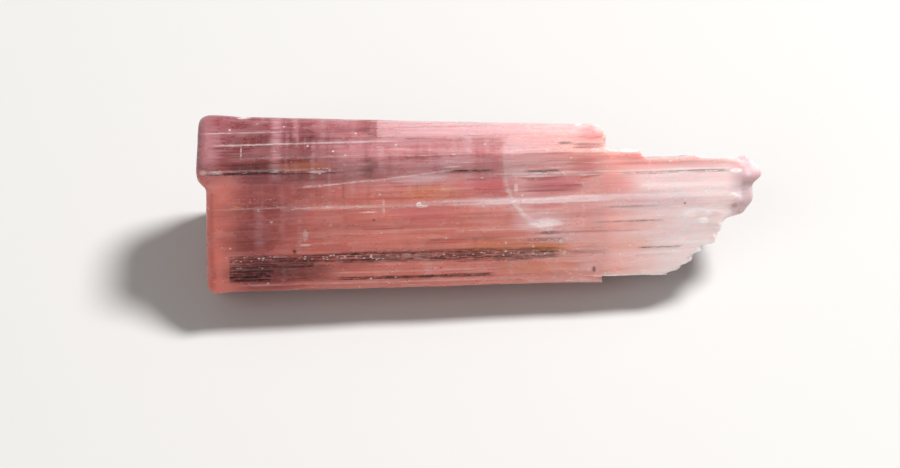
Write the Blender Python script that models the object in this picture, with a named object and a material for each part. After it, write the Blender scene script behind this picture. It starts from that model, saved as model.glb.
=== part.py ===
"""Pink tourmaline crystal: one striated prism, broken at both ends, lying on its flattest long face.

The prism runs along X. Z = 0 is the face that it lies on, and -Y is its front. Its left end is a worn,
rounded break with a small ledge. Its right end is splintered: the back is broken away, the underside
rises in steps, and what is left runs out to a blunt nib.
"""

import math
import random

import bmesh
import bpy
from mathutils import Vector

NODE = "tourmaline_crystal"
MM = 0.001  # every length below is in millimetres

LEFT_END, RIGHT_END = -18.0, 18.2
PRISM_END = RIGHT_END + 3.0  # the prism is made longer than the crystal, and the breaks cut it back
MEASURED_AT = 8.0  # X of the second of the two sections that the corners give

# The section's corners: (Y, Z) at LEFT_END, (Y, Z) at MEASURED_AT, and the radius of the edge there.
# They go up the front, over the top and down the rear. The rest face closes the ring.
CORNERS = {
    "rest_front": ((-2.25, 0.0), (-1.35, 0.0), 0.10),
    "keel": ((-5.05, 3.05), (-3.70, 2.45), 0.25),
    "low_ridge": ((-3.98, 4.86), (-2.52, 4.38), 0.0),
    "high_ridge": ((-1.93, 7.58), (-0.60, 7.24), 0.0),
    "main_edge": ((-0.86, 8.88), (0.42, 8.52), 0.12),
    "top_front": ((0.02, 10.28), (1.28, 9.80), 0.55),
    "top_rear": ((4.72, 10.36), (4.36, 9.92), 1.90),
    "rear_bulge": ((5.10, 4.90), (4.68, 4.80), 2.60),
    "rest_rear": ((4.28, 0.0), (3.92, 0.0), 0.30),
}
ARC_STEPS_PER_MM = 2.2
MOST_POINTS = 140  # that an outline can have

# Growth lines: shallow grooves and flat strips, of uneven width, along every face but the rest face.
STRIA_PITCH = 0.36
STRIA_STRAY = 0.34  # how far a line lies from its even place, as a share of the pitch
STRIA_DEPTH = 0.055
FLAT_STRIPS = 0.35  # the share of points that lie as high as the one before
STRIA_CLEAR = (0.15, 0.75)  # heights over the rest face between which the grooves reach their depth
COLLAR_END = -15.8  # left of this the surface is worn smooth
STATIONS = (-16.3, COLLAR_END, -15.4, -12.2, -8.6, -5.0, -1.2, 2.4, 5.8, 9.0, 12.4, 16.0, PRISM_END)

# Left end: a rounded rim round a face with a ledge. Above the ledge the end stands further out.
RIM = 0.75
RIM_TURNS = (0.0, 16.0, 38.0, 63.0, 90.0)  # degrees round the rim, from the long faces to the end face
CAP_RINGS = (0.16, 0.36, 0.57, 0.78)  # how far each ring of the end face lies towards its middle
LEDGE = 0.58
LEDGE_HEIGHT = 8.75  # at the front edge
LEDGE_FALL = 0.34  # the ledge drops this much for each millimetre towards the rear
LEDGE_BLEND = 0.22
HOLLOW = 0.24  # how far the middle of the broken face lies in

# Right end, underside: for each step, its top as a distance up the front face from the keel, and the X
# where the crystal ends there. The treads lie parallel to the face under the keel.
NIB_STEPS = (
    (0.70, 12.0),
    (1.25, 12.9),
    (2.05, 13.6),
    (2.55, 14.3),
    (3.40, 15.2),
    (4.30, 15.6),
    (5.10, 17.1),
    (6.20, 17.7),
    (6.75, 17.6),
    (7.65, RIGHT_END),
    (8.20, 17.8),
    (11.5, 17.2),
)
NIB_FOOT = -2.5
# How far behind the front face each column of steps begins, and how much shorter its steps are.
NIB_COLUMNS = ((-1.5, 1.0), (1.1, 0.0), (2.4, 0.6), (4.0, 1.3), (5.8, 2.1))
NOSE_FOOT = 4.5  # under this top the first column is hardly shorter than the second
LOW_SHARE = 0.2  # of how much shorter it is over that
NIB_DEPTH = 9.5
NIB_UNEVEN = 0.30
NIB_TILT = 0.11
STEP_GAP = 0.24  # how far a step's riser is out of square
STEP_WANDER = 0.11  # how far the corner of a step strays from its place
LONG_WANDER = 2.0  # the end of a long splinter strays this many times as far
STANDS_OUT = 0.2  # how far a splinter past the first ones stands out, as a share of how far it can lie in

# Right end, rear: the top face is broken away, and the break falls steeply from its front edge to the rear.
REAR_BREAK_X = 7.97
LIP_LENGTH = 2.4
LIP_SHARE, EDGE_SHARE = 0.88, 0.82  # how far up to the top face the break starts, on the lip and past it
REAR_BREAK_SLOPE = math.radians(61.0)
REAR_LENGTHS = (0.0, LIP_LENGTH, 4.1, 6.0, 8.3, 14.0)  # from REAR_BREAK_X along the break
REAR_DROPS = (-3.0, -0.05, 1.6, 2.8, 4.2, 5.8, 10.0)  # from over the edge to the edge, then down the break
REAR_UNEVEN = 0.26

# Right end, keel: a long chip, parallel to the face under the keel.
CHIP_X = 7.8
CHIP_DEPTH = 0.52
CHIP_LENGTHS = (0.0, 1.7, 3.6, 5.5, 14.0)
CHIP_DROPS = (-2.0, 1.6, 6.5)
CHIP_UNEVEN = 0.10

BREAK_REACH = 12.0  # how far each cutter goes past the break that it leaves

COLOUR = (0.72, 0.20, 0.22, 1.0)
ROUGHNESS = 0.18
TRANSMISSION = 0.85
REFRACTION = 1.63
SHARP_EDGE = math.radians(24.0)

CHANCE = random.Random(17)
STRAYS = [CHANCE.uniform(-STRIA_STRAY, STRIA_STRAY) for _ in range(MOST_POINTS)]


def corners_at(x):
    """The section's corners at x, as (Y, Z). Each keeps to a straight line along the prism."""
    share = (x - LEFT_END) / (MEASURED_AT - LEFT_END)
    return {name: Vector(left).lerp(Vector(right), share) for name, (left, right, _) in CORNERS.items()}


def rounded(before, corner, after, radius, steps):
    """The arc that rounds one corner, from the face before it to the face after it."""
    if radius == 0.0:
        return [corner]
    to_before, to_after = (before - corner).normalized(), (after - corner).normalized()
    half = to_before.angle(to_after) / 2
    middle = corner + (to_before + to_after).normalized() * radius / math.sin(half)
    start = corner + to_before * radius / math.tan(half) - middle
    end = corner + to_after * radius / math.tan(half) - middle
    first = math.atan2(start.y, start.x)
    turn = (math.atan2(end.y, end.x) - first + math.pi) % (2 * math.pi) - math.pi
    angles = [first + turn * step / steps for step in range(steps + 1)]
    return [middle + radius * Vector((math.cos(angle), math.sin(angle))) for angle in angles]


def cuts_of_faces():
    """How many pieces each face is cut into. Every section uses the same, and the rest face is one."""
    points = list(corners_at(LEFT_END).values())
    lengths = [(end - start).length for start, end in zip(points, points[1:])]
    return [max(1, round(length / STRIA_PITCH)) for length in lengths] + [1]


def outline_at(x):
    """The smooth outline at x. It has the same number of points, in the same order, at every x."""
    points = list(corners_at(x).values())
    arcs = []
    for i, (_, _, radius) in enumerate(CORNERS.values()):
        steps = max(1, math.ceil(radius * ARC_STEPS_PER_MM))
        arcs.append(rounded(points[i - 1], points[i], points[(i + 1) % len(points)], radius, steps))
    outline = []
    for arc, following, cuts in zip(arcs, arcs[1:] + arcs[:1], cuts_of_faces()):
        outline += arc
        for cut in range(1, cuts):
            outline.append(arc[-1].lerp(following[0], (cut + STRAYS[len(outline)]) / cuts))
    return outline


def smooth_step(value):
    value = min(max(value, 0.0), 1.0)
    return value * value * (3 - 2 * value)


def stria_heights(count):
    """A height for each point of the outline. Where two neighbours share one, there is a flat strip."""
    heights = [0.0]
    while len(heights) < count:
        flat = CHANCE.random() < FLAT_STRIPS
        heights.append(heights[-1] if flat else CHANCE.uniform(-STRIA_DEPTH, STRIA_DEPTH))
    return heights


def striated(outline, heights):
    """The outline with its points moved out and in by their heights, except at the rest face."""
    low, high = STRIA_CLEAR
    grooved = []
    for i, point in enumerate(outline):
        along = (outline[(i + 1) % len(outline)] - outline[i - 1]).normalized()
        outward = Vector((-along.y, along.x))
        grooved.append(point + outward * heights[i] * smooth_step((point.y - low) / (high - low)))
    return grooved


def setback(point):
    """How far the left end lies in from LEFT_END at this (Y, Z): nothing above the ledge, LEDGE below."""
    ledge = LEDGE_HEIGHT - LEDGE_FALL * (point.x - CORNERS["main_edge"][0][0])
    return LEDGE * smooth_step((ledge - point.y) / LEDGE_BLEND)


def left_end_rings():
    """The rings of the worn left end, from the middle of its face out and round the rim."""
    outline = outline_at(LEFT_END)
    middle = sum(outline, Vector((0.0, 0.0))) / len(outline)
    rings = []
    for turn in RIM_TURNS:
        inset, out = RIM * (1 - math.cos(math.radians(turn))), RIM * (1 - math.sin(math.radians(turn)))
        ring = [point + (middle - point).normalized() * inset for point in outline]
        rings.append([Vector((LEFT_END + setback(p) + out, p.x, max(p.y, 0.0))) for p in ring])
    rim = ring
    for inwards in CAP_RINGS:
        ring = [point.lerp(middle, inwards) for point in rim]
        dip = HOLLOW * smooth_step(inwards)
        rings.append([Vector((LEFT_END + setback(p) + dip, p.x, p.y)) for p in ring])
    tip = Vector((LEFT_END + setback(middle) + HOLLOW, middle.x, middle.y))
    return tip, rings[::-1]


def long_face_rings():
    """The rings of the long faces. The grooves drift slowly from one set of heights to another."""
    count = len(outline_at(LEFT_END))
    near, far = stria_heights(count), stria_heights(count)
    rings = []
    for x in STATIONS:
        drift = smooth_step((x - COLLAR_END) / (RIGHT_END - COLLAR_END))
        heights = [a + (b - a) * drift if x > COLLAR_END else 0.0 for a, b in zip(near, far)]
        rings.append([Vector((x, p.x, p.y)) for p in striated(outline_at(x), heights)])
    return rings


def mesh_object(name, mesh_builder):
    """A new object whose bmesh is filled by mesh_builder, with its faces turned outwards."""
    shape = bmesh.new()
    mesh_builder(shape)
    bmesh.ops.recalc_face_normals(shape, faces=shape.faces)
    mesh = bpy.data.meshes.new(name)
    shape.to_mesh(mesh)
    shape.free()
    made = bpy.data.objects.new(name, mesh)
    bpy.context.collection.objects.link(made)
    return made


def build_prism(shape):
    """The whole prism, from the worn left end to a flat far end that the breaks remove."""
    tip, end_rings = left_end_rings()
    rings = [[shape.verts.new(p * MM) for p in ring] for ring in end_rings + long_face_rings()]
    middle = shape.verts.new(tip * MM)
    count = len(rings[0])
    for i in range(count):
        following = (i + 1) % count
        shape.faces.new((middle, rings[0][i], rings[0][following]))
        for ring, beyond in zip(rings, rings[1:]):
            shape.faces.new((ring[i], beyond[i], beyond[following], ring[following]))
    shape.faces.new(rings[-1])


def twinned(lines):
    """Each inner line as two lines a step's gap apart, with the number of the cell that each belongs to."""
    pairs = [(lines[0], 0)]
    for cell, line in enumerate(lines[1:-1]):
        pairs += [(line - STEP_GAP / 2, cell), (line + STEP_GAP / 2, cell + 1)]
    return pairs + [(lines[-1], len(lines) - 2)]


def cutter(name, crystal, grid, sweep):
    """A block that removes everything from the stepped surface of grid as far as sweep goes."""

    def build(shape):
        near = [[shape.verts.new(p * MM) for p in row] for row in grid]
        far = [[shape.verts.new((p + sweep) * MM) for p in row] for row in grid]
        for layer in (near, far):
            for row, above in zip(layer, layer[1:]):
                for i in range(len(row) - 1):
                    shape.faces.new((row[i], row[i + 1], above[i + 1], above[i]))
        rims = [
            layer[0] + [row[-1] for row in layer[1:]] + layer[-1][-2::-1] + [row[0] for row in layer[-2:0:-1]]
            for layer in (near, far)
        ]
        count = len(rims[0])
        for i in range(count):
            j = (i + 1) % count
            shape.faces.new((rims[0][i], rims[0][j], rims[1][j], rims[1][i]))

    tool = mesh_object(name, build)
    tool.hide_render = True
    tool.display_type = "WIRE"
    tool.parent = crystal
    cut = crystal.modifiers.new(name, "BOOLEAN")
    cut.operation = "DIFFERENCE"
    cut.solver = "EXACT"
    cut.object = tool


def wander():
    return CHANCE.uniform(-STEP_WANDER, STEP_WANDER)


def break_nib(crystal):
    """Steps that rise to the right along the underside, as if the prism were a bundle of flat splinters."""
    corners = corners_at(MEASURED_AT)
    keel = corners["keel"]
    up_front = (corners["main_edge"] - keel).normalized()
    inward = (corners["rest_front"] - keel).normalized()
    tops = [NIB_FOOT] + [top for top, _ in NIB_STEPS]
    starts = [start for start, _ in NIB_COLUMNS] + [NIB_DEPTH]
    ends = {}
    for step, (top, end) in enumerate(NIB_STEPS):
        for column, (_, shorter) in enumerate(NIB_COLUMNS):
            share = LOW_SHARE if column == 0 and top < NOSE_FOOT else 1.0
            ends[step, column] = end - shorter * share - CHANCE.uniform(0.0, NIB_UNEVEN) * column
    grid = []
    for top, step in twinned(tops):
        row = []
        for behind, column in twinned(starts):
            place = keel + up_front * (top + wander()) + inward * (behind + wander())
            tilt = CHANCE.uniform(-NIB_TILT, NIB_TILT)
            row.append(Vector((ends[step, column] + tilt, place.x, place.y)))
        grid.append(row)
    cutter("nib_break", crystal, grid, Vector((BREAK_REACH, 0.0, 0.0)))


def long_break(name, crystal, place_at, outward, from_x, lengths, drops, uneven):
    """A break along the prism: long splinters side by side, each of them stepped along its length.

    place_at gives the (Y, Z) of the break at an X and a distance down it. The first splinter is even, and of
    the others those at the start of the break stand out the furthest.
    """
    heights = {}
    for drop in range(len(drops) - 1):
        for length in range(len(lengths) - 1):
            stands = CHANCE.uniform(-1.0, STANDS_OUT) if length else 1.0
            heights[length, drop] = uneven * stands if drop else 0.0
    grid = []
    for along, length in twinned(lengths):
        row = []
        for fall, drop in twinned(drops):
            stray = wander() if drop else 0.0
            x = from_x + along + LONG_WANDER * stray
            place = place_at(x, fall + stray) + outward * heights[length, drop]
            row.append(Vector((x, place.x, place.y)))
        grid.append(row)
    cutter(name, crystal, grid, Vector((0.0, outward.x, outward.y)) * BREAK_REACH)


def break_rear(crystal):
    down = Vector((math.cos(REAR_BREAK_SLOPE), -math.sin(REAR_BREAK_SLOPE)))
    under = Vector((0.0, -1.0))
    outward = Vector((-down.y, down.x))

    def place_at(x, fall):
        corners = corners_at(x)
        share = LIP_SHARE if x < REAR_BREAK_X + LIP_LENGTH else EDGE_SHARE
        edge = corners["main_edge"].lerp(corners["top_front"], share)
        return edge + (down if fall > 0.0 else under) * fall

    long_break(
        "rear_break", crystal, place_at, outward, REAR_BREAK_X, REAR_LENGTHS, REAR_DROPS, REAR_UNEVEN
    )


def chip_keel(crystal):
    corners = corners_at(MEASURED_AT)
    keel = corners["keel"]
    down = (corners["rest_front"] - keel).normalized()
    outward = Vector((down.y, -down.x))
    start = keel + (corners["low_ridge"] - keel).normalized() * CHIP_DEPTH

    def place_at(x, fall):
        return start + down * fall

    long_break("keel_chip", crystal, place_at, outward, CHIP_X, CHIP_LENGTHS, CHIP_DROPS, CHIP_UNEVEN)


def crystal_material():
    material = bpy.data.materials.new("pink tourmaline")
    material.use_nodes = True
    shader = material.node_tree.nodes["Principled BSDF"]
    shader.inputs["Base Color"].default_value = COLOUR
    shader.inputs["Roughness"].default_value = ROUGHNESS
    shader.inputs["Transmission Weight"].default_value = TRANSMISSION
    shader.inputs["IOR"].default_value = REFRACTION
    return material


def centre_over_rest_face(crystal):
    """Moves the crystal and its cutters, so that its box is centred in X and Y and stands on Z = 0."""
    bpy.context.view_layer.update()
    shaped = crystal.evaluated_get(bpy.context.evaluated_depsgraph_get())
    box = [Vector(corner) for corner in shaped.bound_box]
    low = Vector([min(corner[axis] for corner in box) for axis in range(3)])
    high = Vector([max(corner[axis] for corner in box) for axis in range(3)])
    crystal.location = (-(low.x + high.x) / 2, -(low.y + high.y) / 2, -low.z)


def main():
    for old in list(bpy.data.objects):
        bpy.data.objects.remove(old)
    crystal = mesh_object(NODE, build_prism)
    crystal.data.materials.append(crystal_material())
    crystal.data.shade_smooth()
    crystal.data.set_sharp_from_angle(angle=SHARP_EDGE)
    break_nib(crystal)
    break_rear(crystal)
    chip_keel(crystal)
    centre_over_rest_face(crystal)


main()
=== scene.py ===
import math
from collections import namedtuple

import bmesh
import bpy
from bpy.props import FloatProperty, FloatVectorProperty, PointerProperty
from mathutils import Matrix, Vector


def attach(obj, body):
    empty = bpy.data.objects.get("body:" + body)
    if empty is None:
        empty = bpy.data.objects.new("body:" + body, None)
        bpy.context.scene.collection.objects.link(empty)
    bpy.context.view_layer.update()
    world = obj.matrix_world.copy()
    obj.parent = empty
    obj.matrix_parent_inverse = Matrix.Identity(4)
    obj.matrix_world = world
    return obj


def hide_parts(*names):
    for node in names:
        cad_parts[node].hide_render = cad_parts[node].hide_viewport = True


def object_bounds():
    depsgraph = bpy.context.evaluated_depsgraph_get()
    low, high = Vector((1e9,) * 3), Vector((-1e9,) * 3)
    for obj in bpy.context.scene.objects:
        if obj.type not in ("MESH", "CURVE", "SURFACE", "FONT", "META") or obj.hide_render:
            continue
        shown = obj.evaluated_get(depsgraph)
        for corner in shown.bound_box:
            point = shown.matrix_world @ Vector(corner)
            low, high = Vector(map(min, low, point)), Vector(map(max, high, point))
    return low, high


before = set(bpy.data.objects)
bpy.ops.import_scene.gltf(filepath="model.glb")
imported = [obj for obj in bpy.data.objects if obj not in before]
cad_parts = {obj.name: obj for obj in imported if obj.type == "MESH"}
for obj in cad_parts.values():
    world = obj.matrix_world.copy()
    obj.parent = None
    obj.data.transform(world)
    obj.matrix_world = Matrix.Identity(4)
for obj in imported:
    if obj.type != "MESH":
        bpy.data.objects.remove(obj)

bl_info = {
    "name": "Tourmaline Crystal",
    "version": (1, 0, 0),
    "blender": (4, 5, 0),
    "location": "3D View > Sidebar > Tourmaline",
    "description": "Grows the finished pink tourmaline crystal, and sets the stage for it",
    "category": "Add Mesh",
}

MM = 0.001  # sizes in this script are in millimetres, and the mesh is in metres
NODE = "tourmaline_crystal"
CAD_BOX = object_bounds()
LOW, HIGH = (Vector(corner) / MM for corner in CAD_BOX)
MIDDLE = (LOW + HIGH) / 2

# The growth lines rise towards the right end. A point's height up the front is measured square to the
# sight line of someone who looks down on the crystal, and follows a growth line all along the prism.
SIGHT_LINE = math.radians(52.0)
UP_Y, UP_Z = math.sin(SIGHT_LINE), math.cos(SIGHT_LINE)
LINE_RISE = 0.029
KEEL_UP = -1.39  # the height up the front of the keel, from which heights are counted

# The fine skin.
WELD = 0.002  # points of the solid closer than this are one
CUT_ROUNDS = 3  # how often the edges that are too long are cut in two
CUT_ACROSS, CUT_ALONG, CUT_ALONG_ENDS = 0.11, 0.9, 0.30  # the longest edges of the fine skin
CUT_BLEND = 0.5  # how far the finer cuts reach left of the breaks
REST_CLEAR, REST_BLEND = 0.12, 0.5  # heights over the rest face in which the skin begins to move freely
SMOOTH_UNDER = math.radians(32.0)  # edges blunter than this are shaded smooth

# Which points are edges, and which faces are breaks, by how far they face along X and to the rear.
EDGE_SHARPNESS, SIDEWAYS = 1.12, 0.12
END_FACING, END_BLEND = 0.65, 0.3
REAR_FACING, BREAK_BLEND = 0.3, 0.25

# Where the skin changes along the prism: a place, and the length over which it changes.
COLLAR_START, COLLAR_END = -16.8, -15.2  # the worn left end has no growth lines
BREAK_START, BREAK_FADE = 7.4, 1.0
TIP_START, TIP_FADE = 15.6, 1.2
CALM_START, CALM_FADE, CALM = 4.5, 4.0, 0.6  # the lines are shallower towards the right end
LUMP_START, LUMP_FADE = 15.3, 0.8  # the rounded lump that ends the tip
CORNER_START, CORNER_FADE = 7.2, 0.5  # the block's upper right corner
CORNER_FOOT, CORNER_RISE = 9.25, 0.4  # and its height up the front
RIM_START, RIM_FADE, RIM_WEAR = -17.2, 0.4, 0.6  # the rim of the left end

# What is pressed into the skin: noise by its detail, its flat steps, and its size along X, Y and Z.
Press = namedtuple("Press", "name detail steps grain")
LEDGES = Press("ledges", 2, 6, (24.0, 0.9, 0.9))
LINES = Press("lines", 3, 5, (12.0, 0.30, 0.30))
WEAR = Press("wear", 2, 0, (2.4, 1.8, 1.8))
SPLINTERS = Press("splinters", 1, 6, (1.8, 0.9, 0.9))
DARKEST, LIGHTEST = 0.30, 0.70  # the noise's levels that the first and the last flat step stand for
BREAKS_RELAXED, ENDS_RELAXED, FACES_RELAXED = 3, 70, 24  # how many times each is rounded off

# What has chipped off: a place on the chip's plane, the way it faces, and how far it goes.
Chip = namedtuple("Chip", "place facing reach")
CHIPS = (
    Chip((7.80, 3.80, 9.03), (0.70, 0.55, 0.43), 1.3),
    Chip((-15.1, 4.55, 9.75), (-0.35, 0.55, 0.60), 0.75),
)

# The strongest growth lines, the painted shade of the dark band low on the front, and the bands of painted
# glints: height up the front, half width, where the line starts and ends along the prism, how strong it is,
# and the half length over which it fades.
Line = namedtuple("Line", "up half start end strength fade")
# Painted shade: the dark lines below about 2 up the front form the dark band near the keel, where the
# shadow under the crystal would show through. The higher ones are dark growth lines.
DARK_LINES_AND_PAINTED_SHADE = (
    Line(7.36, 0.06, -17.2, -12.6, 0.80, 0.5),
    Line(7.26, 0.03, -13.2, -8.9, 0.60, 0.6),
    Line(7.10, 0.06, -1.8, 0.8, 0.80, 0.3),
    Line(6.98, 0.06, 2.9, 5.0, 0.80, 0.3),
    Line(6.72, 0.05, 9.0, 16.2, 0.50, 1.0),
    Line(6.02, 0.04, 2.9, 6.5, 0.30, 0.4),
    Line(5.75, 0.05, 2.9, 6.5, 0.30, 0.4),
    Line(4.55, 0.05, 8.0, 11.5, 0.30, 0.8),
    Line(3.62, 0.03, 7.5, 11.5, 0.50, 0.8),
    Line(3.05, 0.03, 4.8, 10.0, 0.45, 0.8),
    Line(2.62, 0.07, 3.0, 5.3, 0.55, 0.3),
    Line(2.80, 0.04, -3.5, 1.5, 0.35, 1.0),
    Line(1.84, 0.17, -16.0, -8.5, 0.80, 0.12),
    Line(1.80, 0.22, -9.0, 5.0, 0.80, 0.5),
    Line(1.40, 0.05, -1.5, 4.0, 0.70, 0.6),
    Line(1.76, 0.08, 4.5, 7.9, 0.35, 0.8),
    Line(1.40, 0.14, -16.0, -10.6, 0.75, 0.05),
    Line(1.02, 0.12, -16.0, -13.2, 0.85, 0.05),
    Line(0.66, 0.14, -16.0, -13.4, 0.90, 0.05),
    Line(1.10, 0.20, -13.4, -9.6, 0.45, 0.8),
    Line(0.62, 0.12, -13.4, -9.8, 0.50, 0.8),
    Line(0.48, 0.07, -9.0, 0.8, 0.75, 0.3),
    Line(1.92, 0.03, 10.2, 12.8, 0.75, 0.3),
)
LIGHT_LINES = (
    Line(9.98, 0.03, -17.7, -12.6, 0.50, 1.0),
    Line(9.18, 0.035, -16.6, -5.4, 0.65, 0.8),
    Line(8.30, 0.02, -15.6, -5.2, 0.30, 1.0),
    Line(7.50, 0.04, -17.5, -11.0, 0.45, 1.0),
    Line(6.86, 0.035, 0.8, 16.2, 0.85, 0.8),
    Line(5.10, 0.03, -16.8, -12.6, 0.45, 0.8),
    Line(5.04, 0.06, -11.8, -3.2, 0.55, 0.8),
    Line(5.20, 0.04, -4.0, 6.0, 0.60, 0.8),
    Line(5.00, 0.03, -4.0, 8.0, 0.75, 0.8),
    Line(5.30, 0.05, 4.8, 13.6, 0.60, 0.6),
    Line(4.24, 0.02, -1.4, 1.5, 0.50, 0.3),
    Line(3.33, 0.02, -1.4, 3.0, 0.55, 0.3),
    Line(2.42, 0.02, 4.6, 8.0, 0.55, 0.6),
    Line(1.60, 0.03, 10.2, 12.8, 0.80, 0.3),
    Line(0.86, 0.03, -9.4, 1.0, 0.35, 0.6),
    Line(0.20, 0.04, -15.2, 6.0, 0.40, 0.8),
)
# Painted highlights: in these bands the bright specks stand in for light sparkling off tiny facets.
PAINTED_GLINT_BANDS = (
    Line(1.88, 0.10, -16.0, -8.5, 1.0, 0.3),
    Line(1.80, 0.12, -9.0, 5.6, 1.0, 0.3),
    Line(1.30, 0.04, -15.6, -13.4, 1.0, 0.3),
    Line(5.04, 0.08, -16.0, 8.0, 0.8, 0.3),
    Line(5.45, 0.20, -15.6, -8.6, 0.45, 0.3),
    Line(3.20, 0.25, 3.2, 5.4, 0.7, 0.3),
    Line(4.20, 0.30, 7.6, 11.0, 0.3, 0.5),
    Line(3.80, 0.30, 12.9, 15.2, 0.8, 0.3),
    Line(7.46, 0.08, -17.5, -8.6, 0.8, 0.3),
    Line(2.60, 0.08, 2.8, 6.0, 0.8, 0.3),
    Line(8.25, 0.12, 6.9, 9.2, 1.0, 0.2),
    Line(1.62, 0.05, 10.2, 12.9, 1.0, 0.2),
)

# Patches and marks: their middles along the prism and up the front, their half sizes, and how strong
# they are.
Mark = namedtuple("Mark", "along up wide high strength")
DUSKY_PATCHES_AND_PAINTED_SHADE = (
    Mark(-14.75, 9.50, 2.0, 0.65, 0.85),
    Mark(-14.85, 8.70, 2.3, 0.80, 0.95),
    Mark(-14.50, 7.85, 2.0, 0.65, 0.90),
    Mark(-14.75, 10.40, 1.7, 0.45, 0.45),
    Mark(-11.20, 8.40, 2.4, 0.70, 0.75),
    Mark(-11.20, 9.40, 1.9, 0.40, 0.65),
    Mark(-7.00, 7.60, 0.55, 0.80, 0.75),
    Mark(-7.10, 10.05, 0.60, 1.2, 0.50),
    Mark(-13.95, 4.80, 3.2, 1.0, 0.45),
    Mark(-14.75, 3.20, 2.4, 1.5, 0.45),
    Mark(-13.80, 0.95, 3.2, 0.7, 0.60),
    Mark(-13.00, 6.10, 3.4, 0.6, 0.30),
    # Painted shade: dims the strip above the main edge near the tip, which faces the key light.
    Mark(12.8, 7.70, 4.6, 0.65, 0.30),
)
ROSE_PATCHES = (
    Mark(0.65, 6.15, 2.2, 0.80, 0.75),
    Mark(4.70, 6.05, 2.2, 0.66, 0.85),
    Mark(4.15, 4.75, 1.3, 0.22, 0.55),
    Mark(7.05, 9.35, 0.80, 0.55, 0.50),
    Mark(6.75, 7.20, 1.0, 0.75, 0.45),
    Mark(-3.50, 4.50, 2.6, 0.70, 0.50),
    Mark(12.8, 7.55, 3.8, 0.60, 0.22),
    Mark(8.60, 5.90, 1.8, 0.80, 0.30),
)
AMBER_PATCHES = (
    Mark(4.30, 2.05, 1.5, 0.42, 0.85),
    Mark(-3.20, 5.80, 2.2, 0.50, 0.50),
    Mark(1.30, 2.30, 2.6, 0.60, 0.40),
    Mark(3.85, 0.80, 3.2, 0.50, 0.35),
    Mark(-11.2, 7.70, 2.2, 0.40, 0.40),
    Mark(10.0, 2.20, 1.4, 0.60, 0.20),
    Mark(-15.55, 5.24, 0.13, 0.13, 1.0),
)
PALE_PATCHES = (
    Mark(-8.30, 7.70, 1.8, 1.2, 0.35),
    Mark(-3.85, 6.75, 2.4, 0.42, 0.60),
    Mark(-0.90, 9.30, 0.22, 0.45, 0.50),
    Mark(-1.60, 7.85, 1.5, 0.80, 0.40),
    Mark(2.25, 5.30, 1.0, 1.1, 0.50),
    Mark(3.85, 3.85, 2.1, 0.80, 0.75),
    Mark(5.10, 3.00, 1.8, 0.70, 0.50),
    Mark(0.30, 5.15, 1.3, 0.55, 0.60),
    Mark(10.2, 4.90, 4.4, 0.90, 0.60),
    Mark(6.90, 0.95, 0.9, 0.8, 0.35),
    Mark(-17.50, 9.00, 1.1, 3.0, 0.36),
    Mark(-3.00, 10.4, 3.6, 0.9, 0.35),
)
COLUMNS = (
    Mark(-13.00, 9.00, 0.34, 2.3, 0.55),
    Mark(-12.30, 8.60, 0.12, 1.6, 0.30),
    Mark(-11.80, 10.30, 0.18, 0.8, 0.45),
    Mark(-10.62, 7.90, 0.16, 1.5, 0.45),
    Mark(-10.05, 9.40, 0.30, 1.9, 0.35),
    Mark(-9.00, 8.60, 0.40, 1.2, 0.35),
    Mark(-8.10, 8.00, 0.16, 2.4, 0.35),
    Mark(-6.35, 8.10, 0.20, 0.9, 0.45),
    Mark(-5.30, 8.00, 0.12, 1.6, 0.30),
    Mark(-14.05, 3.90, 0.28, 1.5, 0.35),
    Mark(-12.60, 4.60, 0.16, 1.6, 0.30),
    Mark(-11.50, 3.40, 0.14, 1.4, 0.35),
    Mark(-9.60, 4.20, 0.22, 1.8, 0.25),
    Mark(-12.55, 1.10, 0.10, 0.8, 0.35),
    Mark(-5.90, 1.20, 0.16, 0.8, 0.25),
    Mark(1.55, 8.85, 0.16, 1.7, 0.55),
    Mark(-0.75, 8.20, 0.22, 2.6, 0.45),
    Mark(-2.40, 6.60, 0.14, 1.4, 0.30),
    Mark(0.40, 9.60, 0.12, 1.0, 0.35),
    Mark(-3.30, 1.05, 0.20, 0.7, 0.30),
    Mark(2.00, 1.05, 0.15, 0.7, 0.30),
    Mark(4.90, 1.05, 0.12, 0.7, 0.35),
    Mark(6.55, 5.20, 0.07, 2.2, 0.60),
    Mark(7.45, 5.20, 0.50, 2.2, 0.30),
)
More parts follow.
